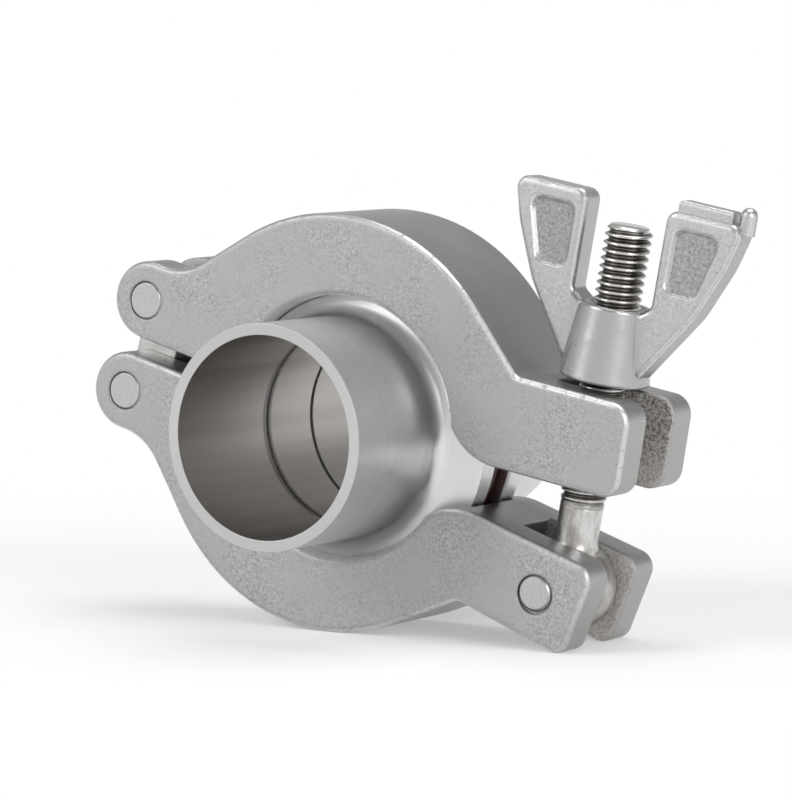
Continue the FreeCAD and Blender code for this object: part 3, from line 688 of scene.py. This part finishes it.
def floor(low):
    """Pale floor just under the object, fading to plain white away from it."""
    bm = bmesh.new()
    corners = [(-FLOOR_REACH, -FLOOR_REACH), (FLOOR_REACH, -FLOOR_REACH),
               (FLOOR_REACH, FLOOR_REACH), (-FLOOR_REACH, FLOOR_REACH)]
    bm.faces.new([bm.verts.new((x, y, 0)) for x, y in corners])
    mesh = bpy.data.meshes.new("floor")
    bm.to_mesh(mesh)
    bm.free()
    material = bpy.data.materials.new("floor")
    material.use_nodes = True
    tree = material.node_tree
    tree.nodes.clear()
    out = tree.nodes.new("ShaderNodeOutputMaterial")
    diffuse = tree.nodes.new("ShaderNodeBsdfDiffuse")
    diffuse.inputs["Color"].default_value = (FLOOR_COLOUR, FLOOR_COLOUR, FLOOR_COLOUR, 1)
    glow = tree.nodes.new("ShaderNodeEmission")
    both = tree.nodes.new("ShaderNodeAddShader")
    tree.links.new(seen(tree, FLOOR_LIFT, 0.0), glow.inputs["Strength"])
    tree.links.new(diffuse.outputs[0], both.inputs[0])
    tree.links.new(glow.outputs[0], both.inputs[1])
    white = tree.nodes.new("ShaderNodeEmission")
    tree.links.new(seen(tree, 1.0, DIFFUSE_LEVEL), white.inputs["Strength"])
    coord = tree.nodes.new("ShaderNodeTexCoord")
    reach = tree.nodes.new("ShaderNodeVectorMath")
    reach.operation = "LENGTH"
    tree.links.new(coord.outputs["Object"], reach.inputs[0])
    fade = tree.nodes.new("ShaderNodeMapRange")
    fade.interpolation_type = "SMOOTHSTEP"
    fade.inputs["From Min"].default_value = FLOOR_NEAR
    fade.inputs["From Max"].default_value = FLOOR_FAR
    tree.links.new(reach.outputs["Value"], fade.inputs["Value"])
    pick = tree.nodes.new("ShaderNodeMixShader")
    tree.links.new(fade.outputs[0], pick.inputs["Fac"])
    tree.links.new(both.outputs[0], pick.inputs[1])
    tree.links.new(white.outputs[0], pick.inputs[2])
    tree.links.new(pick.outputs[0], out.inputs["Surface"])
    obj = link_object("floor", mesh, material, smooth=False)
    obj.location.z = low - FLOOR_DROP * MM


def seen(tree, strength, other):
    """strength for camera, glossy and transmission rays, other for the rest."""
    path = tree.nodes.new("ShaderNodeLightPath")
    total = path.outputs["Is Camera Ray"]
    for name in ("Is Glossy Ray", "Is Transmission Ray"):
        node = tree.nodes.new("ShaderNodeMath")
        node.operation = "MAXIMUM"
        tree.links.new(total, node.inputs[0])
        tree.links.new(path.outputs[name], node.inputs[1])
        total = node.outputs[0]
    node = tree.nodes.new("ShaderNodeMapRange")
    tree.links.new(total, node.inputs["Value"])
    node.inputs["To Min"].default_value = other
    node.inputs["To Max"].default_value = strength
    return node.outputs[0]


def studio_world():
    """White behind the object, with a darker room above as metal sees it."""
    world = bpy.data.worlds.new("studio")
    bpy.context.scene.world = world
    world.use_nodes = True
    tree = world.node_tree
    tree.nodes.clear()
    out = tree.nodes.new("ShaderNodeOutputWorld")
    shade = tree.nodes.new("ShaderNodeBackground")
    tree.links.new(shade.outputs[0], out.inputs["Surface"])
    tree.links.new(seen(tree, 1.0, DIFFUSE_LEVEL), shade.inputs["Strength"])
    coord = tree.nodes.new("ShaderNodeTexCoord")
    parts = tree.nodes.new("ShaderNodeSeparateXYZ")
    tree.links.new(coord.outputs["Generated"], parts.inputs[0])
    ramp = tree.nodes.new("ShaderNodeValToRGB")
    tree.links.new(parts.outputs["Z"], ramp.inputs[0])
    marks = ramp.color_ramp.elements
    while len(marks) < len(SKY_STOPS):
        marks.new(0.5)
    for mark, (place, level) in zip(marks, SKY_STOPS):
        mark.position = place
        mark.color = (level, level * SKY_GREEN, level * SKY_BLUE, 1)
    path = tree.nodes.new("ShaderNodeLightPath")
    pick = tree.nodes.new("ShaderNodeMix")
    pick.data_type = "RGBA"
    tree.links.new(path.outputs["Is Camera Ray"], pick.inputs["Factor"])
    tree.links.new(ramp.outputs[0], pick.inputs[6])
    pick.inputs[7].default_value = (1, 1, 1, 1)
    tree.links.new(pick.outputs[2], shade.inputs["Color"])


def soft_lamp(name, place, size, power):
    """Round area lamp that faces the origin."""
    lamp = bpy.data.lights.new(name, "AREA")
    lamp.shape, lamp.size, lamp.energy = "DISK", size, power
    obj = bpy.data.objects.new(name, lamp)
    bpy.context.scene.collection.objects.link(obj)
    obj.location = place
    obj.rotation_euler = (-Vector(place)).to_track_quat("-Z", "Y").to_euler()


def studio_camera():
    """Camera at an angle and a distance from its target, made the scene's own."""
    data = bpy.data.cameras.new("camera")
    data.sensor_fit, data.sensor_height, data.lens = "VERTICAL", SENSOR_HEIGHT, FOCAL_LENGTH
    data.clip_start, data.clip_end = CLIP_NEAR, CLIP_FAR
    obj = bpy.data.objects.new("camera", data)
    bpy.context.scene.collection.objects.link(obj)
    turn, rise = radians(CAMERA_AZIMUTH), radians(CAMERA_ELEVATION)
    away = Vector((sin(turn) * cos(rise), -cos(turn) * cos(rise), sin(rise)))
    target = Vector(CAMERA_TARGET) * MM
    obj.location = target + away * CAMERA_DISTANCE * MM
    obj.rotation_euler = (-away).to_track_quat("-Z", "Y").to_euler()
    bpy.context.scene.camera = obj


def dress(node, material):
    """Give a CAD node its material."""
    obj = NODES[node]
    if not obj.material_slots:
        obj.data.materials.append(material)
    for slot in obj.material_slots:
        slot.link = "OBJECT"
        slot.material = material


cast, pins, tubes = cast_steel(), pin_steel(), tube_steel()
for node, material in (("lower_clamp_half", cast), ("upper_clamp_half", cast),
                       ("hinge_link", link_steel()), ("lower_hinge_pin", pins),
                       ("upper_hinge_pin", pins), ("bolt_pivot_pin", pins),
                       ("wing_nut", nut_steel()), ("front_weld_stub", tubes),
                       ("rear_weld_stub", tubes), ("centering_ring", tubes),
                       ("o_ring", seal_rubber())):
    dress(node, material)
swing_bolt()

floor(cad_box[0][2])
studio_world()
for lamp in LAMPS:
    soft_lamp(*lamp)
studio_camera()
bpy.context.scene.view_settings.view_transform = "Standard"
